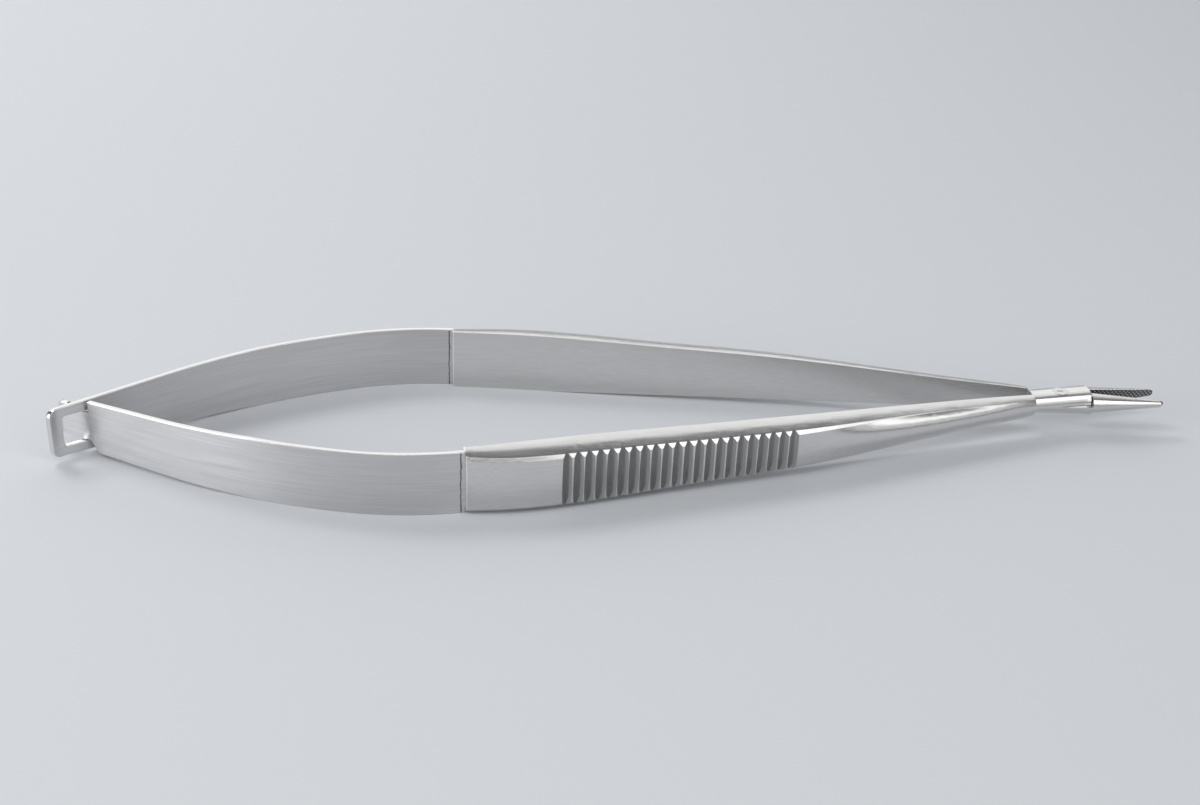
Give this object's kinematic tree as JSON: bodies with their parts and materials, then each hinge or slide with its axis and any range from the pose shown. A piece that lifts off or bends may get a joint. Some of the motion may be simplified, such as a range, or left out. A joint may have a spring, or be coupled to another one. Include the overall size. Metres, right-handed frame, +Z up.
{
  "type": "surgical needle holder",
  "caption": "Spring-handled micro needle holder: straight jaws, screwed lap joint, ridged grips and hooked leaf springs that hold it open.",
  "frame": {"origin": "middle of the footprint, on the surface that the instrument lies on", "axes": "+X towards the jaws along the whole length, +Y towards the left arm's handle, +Z up, along the pivot screw"},
  "size_m": [0.14, 0.0352, 0.008],
  "materials": {
    "arm_steel": "satin",
    "leaf_steel": "brushed",
    "screw_steel": "ground"
  },
  "bodies": {
    "right_half": {"right_arm": "arm_steel", "right_leaf_spring": "leaf_steel"},
    "left_half": {"left_arm": "arm_steel", "left_leaf_spring": "leaf_steel", "pivot_screw": "screw_steel"}
  },
  "joints": [
    {"name": "pivot", "type": "hinge", "parent": "right_half", "child": "left_half", "pos_m": [0.05645, 0, 0.004], "axis": [0, 0, 1], "range_deg": [0, 12.8], "stiffness_Nm_per_rad": 1.2, "deforming": ["right_leaf_spring", "left_leaf_spring"]}
  ]
}
